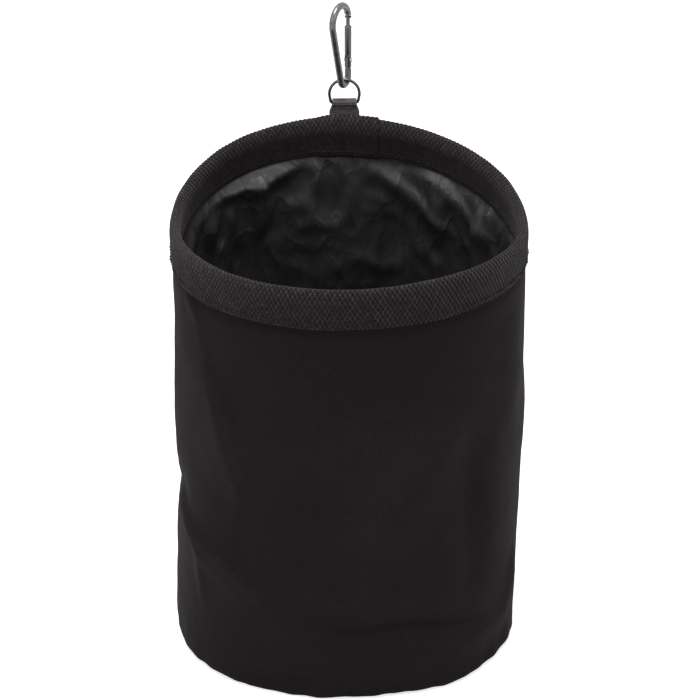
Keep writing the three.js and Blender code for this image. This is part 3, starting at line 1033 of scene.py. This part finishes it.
def use_group(tree, group, values):
    """Place a node group and return its outputs."""
    return add_node(tree, "ShaderNodeGroup", values, node_tree=group).outputs


def maths(tree, operation, *values):
    """A Math node on sockets or numbers; returns its output."""
    return add_node(tree, "ShaderNodeMath", dict(enumerate(values)), operation=operation).outputs[0]


def speckle(tree, values):
    """A Noise node; returns its 0 to 1 output."""
    return add_node(tree, "ShaderNodeTexNoise", values).outputs["Fac"]


def spread(tree, value, low, high):
    """Stretch a 0 to 1 value between two numbers."""
    limits = {"Value": value, "To Min": low, "To Max": high}
    return add_node(tree, "ShaderNodeMapRange", limits).outputs["Result"]


def tint(tree, share, dark, pale):
    """A colour between two, by share."""
    made = add_node(tree, "ShaderNodeMix", {"Factor": share}, data_type="RGBA")
    colours = [socket for socket in made.inputs if socket.type == "RGBA"]
    colours[0].default_value = (*dark, 1)
    colours[1].default_value = (*pale, 1)
    return [socket for socket in made.outputs if socket.type == "RGBA"][0]


def relief(tree, height, depth, strength):
    """The normals of a surface with this bump."""
    bump = add_node(tree, "ShaderNodeBump", {"Height": height, "Distance": depth, "Strength": strength})
    return bump.outputs["Normal"]


def set_yarns():
    """Rows of yarns set half a step apart; gives their height and a tone for each yarn."""
    group, given, made = new_group("set_yarns", ["Across", "Along"], ["Height", "Tone"])
    wander = add_node(group, "ShaderNodeTexNoise", {"Vector": given["Vector"], "Scale": 330.0, "Detail": 1.0})
    moved = {0: wander.outputs["Color"], 1: (YARN_STRAY, YARN_STRAY, 0.0), 2: given["Vector"]}
    stray = add_node(group, "ShaderNodeVectorMath", moved, operation="MULTIPLY_ADD")
    split = add_node(group, "ShaderNodeSeparateXYZ", {0: stray.outputs["Vector"]}).outputs
    u = maths(group, "MULTIPLY", split["X"], given["Across"])
    v = maths(group, "MULTIPLY", split["Y"], given["Along"])
    wave_u = maths(group, "COSINE", maths(group, "MULTIPLY", u, 2 * math.pi))
    wave_v = maths(group, "COSINE", maths(group, "MULTIPLY", v, math.pi))
    both = maths(group, "MULTIPLY", maths(group, "MULTIPLY", wave_u, wave_v), 0.5)
    row = maths(group, "ROUND", v)
    shift = maths(group, "MULTIPLY", maths(group, "PINGPONG", row, 1), 0.5)
    column = maths(group, "ROUND", maths(group, "ADD", u, shift))
    cell = add_node(group, "ShaderNodeCombineXYZ", {"X": column, "Y": row}).outputs["Vector"]
    tone = add_node(group, "ShaderNodeTexWhiteNoise", {"Vector": cell}, noise_dimensions="3D")
    fill(group, made, {"Height": maths(group, "ADD", both, 0.5), "Tone": tone.outputs["Value"]})
    return group


def soft_patches():
    """Broad uneven patches and fine fibre specks."""
    group, given, made = new_group("soft_patches", [], ["Patch", "Fibre"])
    patch = speckle(group, {"Vector": given["Vector"], "Scale": 26.0, "Detail": 4.0, "Roughness": 0.6})
    fibre = speckle(group, {"Vector": given["Vector"], "Scale": 1500.0, "Detail": 3.0, "Roughness": 0.7})
    fill(group, made, {"Patch": patch, "Fibre": fibre})
    return group


def handling_marks():
    """Fine scratches and faint finger marks on metal."""
    group, given, made = new_group("handling_marks", [], ["Scratch", "Smudge"])
    lengthwise = {"Vector": given["Vector"], "Scale": (900.0, 900.0, 5000.0), "Rotation": (0.5, 0.3, 0.0)}
    stretch = add_node(group, "ShaderNodeMapping", lengthwise)
    scratch = speckle(group, {"Vector": stretch.outputs["Vector"], "Scale": 1.0, "Detail": 2.0})
    smudge = speckle(group, {"Vector": given["Vector"], "Scale": 260.0, "Detail": 3.0})
    fill(group, made, {"Scratch": scratch, "Smudge": smudge})
    return group


def sharp_creases():
    """Crisp wrinkles of thin shiny cloth, as ridges of two sizes, each with its slant and share."""
    group, given, made = new_group("sharp_creases", [], ["Crease"])
    ridges = []
    for scale, slant, share in ((34.0, 0.6, 1.0), (95.0, -0.5, 0.3)):
        upright = {"Vector": given["Vector"], "Scale": (1.0, 1.0, 0.55), "Rotation": (slant, slant, 0.0)}
        place = add_node(group, "ShaderNodeMapping", upright).outputs["Vector"]
        wave = speckle(group, {"Vector": place, "Scale": scale, "Detail": 1.0, "Distortion": 0.4})
        away = maths(group, "ABSOLUTE", maths(group, "SUBTRACT", wave, 0.5))
        near = maths(group, "MAXIMUM", maths(group, "SUBTRACT", 1, maths(group, "MULTIPLY", away, 4)), 0)
        ridges.append(maths(group, "MULTIPLY", maths(group, "POWER", near, 3), share))
    fill(group, made, {"Crease": maths(group, "ADD", *ridges)})
    return group


WEAVE = set_yarns()
PATCHES = soft_patches()
MARKS = handling_marks()
CREASES = sharp_creases()


def pressed_weave(tree, where, height):
    """The weave's height, pressed flatter on the side of the webbing that lies inside the mouth."""
    split = add_node(tree, "ShaderNodeSeparateXYZ", {0: where})
    limits = {"From Min": PRESSED_FROM * TAPE_WIDTH, "From Max": PRESSED_TO * TAPE_WIDTH, "To Max": PRESSED}
    share = add_node(tree, "ShaderNodeMapRange", {"Value": split.outputs["Y"], **limits})
    flat = add_node(tree, "ShaderNodeMix", {"Factor": share.outputs["Result"], "A": height, "B": 0.5})
    return flat.outputs["Result"]


def woven_finish(name, dark, pale, threads, depth, strength, rough, plain, uv=True, pressed=False):
    """Woven cloth: threads, uneven tone and fibre, from the cloth's own UV map or its place.

    The weave's bump has this depth and strength, and plain holds the shader's other values.
    """
    material, tree, shader = new_tree(name, pale)
    place = add_node(tree, "ShaderNodeTexCoord").outputs
    where = place["UV"] if uv else place["Object"]
    weave = use_group(tree, WEAVE, {"Vector": where, "Across": threads[0], "Along": threads[1]})
    patches = use_group(tree, PATCHES, {"Vector": place["Object"]})
    yarns = pressed_weave(tree, where, weave["Height"]) if pressed else weave["Height"]
    # Painted shade and highlight: the colour is darker where the yarns dip and paler on their tops, following
    # the weave's height; each yarn's own tone also varies at random.
    tone = maths(tree, "MULTIPLY", yarns, spread(tree, weave["Tone"], 0.55, 1.1))
    tone = maths(tree, "MULTIPLY", tone, spread(tree, patches["Patch"], 0.6, 1.3))
    # Painted light and shade: the wall's colour is paler where its folds stand out and darker in its hollows,
    # as light and shade would fall on them.
    raised = add_node(tree, "ShaderNodeAttribute", attribute_name="raised").outputs["Fac"]
    limits = {"Value": raised, "From Min": -1.0, "To Min": 0.62, "To Max": 1.38}
    painted_fold_light = add_node(tree, "ShaderNodeMapRange", limits).outputs["Result"]
    height = maths(tree, "MULTIPLY_ADD", patches["Fibre"], 0.35, yarns)
    fill(tree, shader, {
        "Base Color": tint(tree, maths(tree, "MULTIPLY", tone, painted_fold_light), dark, pale),
        "Roughness": spread(tree, patches["Fibre"], rough - 0.08, rough + 0.1),
        "Normal": relief(tree, height, depth, strength),
        **plain,
    })
    return material


def bag_cloth_finish(name, rough, uv):
    dark = (0.0078, 0.0062, 0.0066)
    pale = (0.0256, 0.0204, 0.0217)
    plain = {"Specular IOR Level": 0.03}
    return woven_finish(name, dark, pale, (1700, 1500), 0.00016, 0.55, rough, plain, uv=uv)


def rim_finish():
    dark = (0.0030, 0.0024, 0.0025)
    pale = (0.041, 0.0328, 0.0343)
    threads = (YARNS_ALONG / TAPE_LENGTH, YARNS_ACROSS / TAPE_WIDTH)
    plain = {"Specular IOR Level": 0.10, "Sheen Weight": 0.06, "Sheen Roughness": 0.4}
    return woven_finish("black_rim_webbing", dark, pale, threads, 0.0008, 0.9, 0.75, plain, pressed=True)


def tab_finish():
    dark = (0.03, 0.025, 0.026)
    pale = (0.22, 0.19, 0.194)
    plain = {"Specular IOR Level": 0.16}
    return woven_finish("black_tab_webbing", dark, pale, (1300, 1 / RIB), 0.0003, 0.7, 0.75, plain)


def lining_finish(name, depth):
    """Black satin: a little uneven tone, and crisp wrinkles of this depth that catch the light."""
    material, tree, shader = new_tree(name, (0.020, 0.0188, 0.0192))
    place = {"Vector": add_node(tree, "ShaderNodeTexCoord").outputs["Object"]}
    patches = use_group(tree, PATCHES, place)
    creases = use_group(tree, CREASES, place)
    fill(tree, shader, {
        "Base Color": tint(tree, patches["Patch"], (0.011, 0.0102, 0.0105), (0.031, 0.0288, 0.0296)),
        "Roughness": spread(tree, patches["Fibre"], 0.31, 0.45),
        "Normal": relief(tree, creases["Crease"], depth, 1.0),
        "Specular IOR Level": 0.42,
    })
    return material


def thread_finish():
    material, tree, shader = new_tree("black_thread", (0.02, 0.018, 0.017))
    place = add_node(tree, "ShaderNodeTexCoord").outputs["Object"]
    twist = speckle(tree, {"Vector": place, "Scale": 2600.0, "Detail": 2.0})
    fill(tree, shader, {
        "Base Color": tint(tree, twist, (0.012, 0.0096, 0.0102), (0.030, 0.024, 0.0255)),
        "Normal": relief(tree, twist, 0.0001, 0.6),
        "Roughness": 0.75,
        "Specular IOR Level": 0.12,
    })
    return material


def metal_finish(name, dark, pale, rough, depth, bright=1.0):
    """Metal with faint marks, between two greys and two roughnesses."""
    material, tree, shader = new_tree(name, pale)
    place = add_node(tree, "ShaderNodeTexCoord").outputs["Object"]
    marks = use_group(tree, MARKS, {"Vector": place})
    worn = maths(tree, "MULTIPLY", marks["Scratch"], marks["Smudge"])
    fill(tree, shader, {
        "Base Color": tint(tree, marks["Smudge"], dark, pale),
        "Roughness": spread(tree, worn, *rough),
        "Normal": relief(tree, marks["Scratch"], depth, 0.3),
        "Metallic": bright,
    })
    return material


def ring_finish():
    return metal_finish("nickel_ring", (0.07, 0.07, 0.072), (0.12, 0.12, 0.122), (0.26, 0.42), 0.00004)


def rod_finish():
    dark = (0.10, 0.10, 0.102)
    return metal_finish("dark_nickel_rod", dark, (0.16, 0.16, 0.162), (0.24, 0.40), 0.00004, 0.55)


def gate_finish():
    return metal_finish("satin_gate_metal", (0.08, 0.08, 0.082), (0.13, 0.13, 0.133), (0.30, 0.5), 0.00006)


def pin_finish():
    return metal_finish("steel_pins", (0.32, 0.32, 0.33), (0.5, 0.5, 0.51), (0.2, 0.4), 0.00003)


def plastic_finish():
    material, tree, shader = new_tree("black_hoop_plastic", (0.014, 0.014, 0.014))
    place = add_node(tree, "ShaderNodeTexCoord").outputs["Object"]
    patches = use_group(tree, PATCHES, {"Vector": place})
    fill(tree, shader, {
        "Base Color": tint(tree, patches["Patch"], (0.010, 0.010, 0.010), (0.020, 0.020, 0.020)),
        "Roughness": spread(tree, patches["Fibre"], 0.45, 0.65),
    })
    return material


def dress(piece, material):
    """Give a piece this material alone."""
    piece.data.materials.clear()
    piece.data.materials.append(material)


def dress_node(name, material):
    """Give a carried-over solid a better material in its own slots."""
    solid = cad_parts[name]
    for slot in solid.material_slots:
        slot.material = material
    if not solid.material_slots:
        solid.data.materials.append(material)


# Studio

def photo_camera():
    level = math.cos(EYE_HEIGHT)
    back = Vector((level * math.sin(EYE_TURN), -level * math.cos(EYE_TURN), math.sin(EYE_HEIGHT)))
    let_go()
    bpy.ops.object.camera_add(
        location=EYE_AIM + back * EYE_DISTANCE, rotation=(math.pi / 2 - EYE_HEIGHT, 0, EYE_TURN)
    )
    camera = bpy.context.active_object
    camera.name = "photo_camera"
    camera.data.lens = EYE_LENS
    camera.data.sensor_width = EYE_SENSOR
    camera.data.clip_start = 0.05
    bpy.context.scene.camera = camera


def soft_lamp(name, place, aim, size, power):
    let_go()
    bpy.ops.object.light_add(type="AREA", location=place)
    lamp = bpy.context.active_object
    lamp.name = name
    lamp.rotation_euler = (Vector(aim) - Vector(place)).to_track_quat("-Z", "Y").to_euler()
    lamp.data.size = size
    lamp.data.energy = power


def seen_by(tree):
    """1 for rays from the camera, a mirror or glass, 0 for the light that falls on things."""
    path = add_node(tree, "ShaderNodeLightPath").outputs
    either = maths(tree, "MAXIMUM", path["Is Camera Ray"], path["Is Glossy Ray"])
    return maths(tree, "MAXIMUM", either, path["Is Transmission Ray"])


def white_room():
    world = bpy.data.worlds.new("white_room")
    bpy.context.scene.world = world
    world.use_nodes = True
    tree = world.node_tree
    tree.nodes.clear()
    strength = spread(tree, seen_by(tree), 0.2, 1.0)
    light = add_node(tree, "ShaderNodeBackground", {"Color": (1, 1, 1, 1), "Strength": strength})
    add_node(tree, "ShaderNodeOutputWorld", {"Surface": light.outputs[0]})


def pale_floor():
    let_go()
    bpy.ops.mesh.primitive_plane_add(size=14)
    floor = name_new("floor")
    floor.location.z = -0.0002
    settle(floor)
    material, tree, shader = new_tree("pale_floor", (0.6, 0.6, 0.6))
    fill(tree, shader, {"Roughness": 0.9, "Specular IOR Level": 0.0})
    strength = maths(tree, "MULTIPLY", seen_by(tree), 0.75)
    glow = add_node(tree, "ShaderNodeEmission", {"Color": (1, 1, 1, 1), "Strength": strength})
    both = add_node(tree, "ShaderNodeAddShader", {0: shader.outputs[0], 1: glow.outputs[0]})
    fill(tree, tree.nodes["Material Output"], {"Surface": both.outputs[0]})
    dress(floor, material)


def studio():
    photo_camera()
    white_room()
    pale_floor()
    soft_lamp("left_softbox", (-1.6, -1.2, 1.3), (0, 0, 0.16), 0.8, 8)
    soft_lamp("right_softbox", (1.6, -1.2, 1.2), (0, 0, 0.16), 0.8, 7)
    soft_lamp("top_softbox", (-0.1, -0.2, 2.1), (0, 0, 0.2), 1.0, 62)
    bpy.context.scene.view_settings.view_transform = "Standard"


# Assembly

studio()

dress(wall_cloth(), bag_cloth_finish("black_bag_cloth", 0.72, True))
dress(base_cloth(), bag_cloth_finish("black_base_cloth", 0.74, False))
dress(lining_cloth(), lining_finish("black_satin_lining", 0.0007))
dress(lining_floor(), lining_finish("black_satin_floor", 0.00015))
dress(rim_tape(), rim_finish())
dress(tab_strip(), tab_finish())

thread = thread_finish()
dress(tape_stitches("rim_stitches_outside", STITCH_SHARE, sides_too=True), thread)
dress(tape_stitches("rim_stitches_inside", 1 - STITCH_SHARE), thread)
dress(tab_stitches(), thread)

dress(ring_wire(), ring_finish())
dress(carabiner_rod(), rod_finish())
dress(gate_bar(), gate_finish())
pin_metal = pin_finish()
dress(hinge_rivet(), pin_metal)
dress_node("latch_pin", pin_metal)
dress_node("gate_spring", pin_metal)
dress_node("rim_hoop", plastic_finish())

let_go()
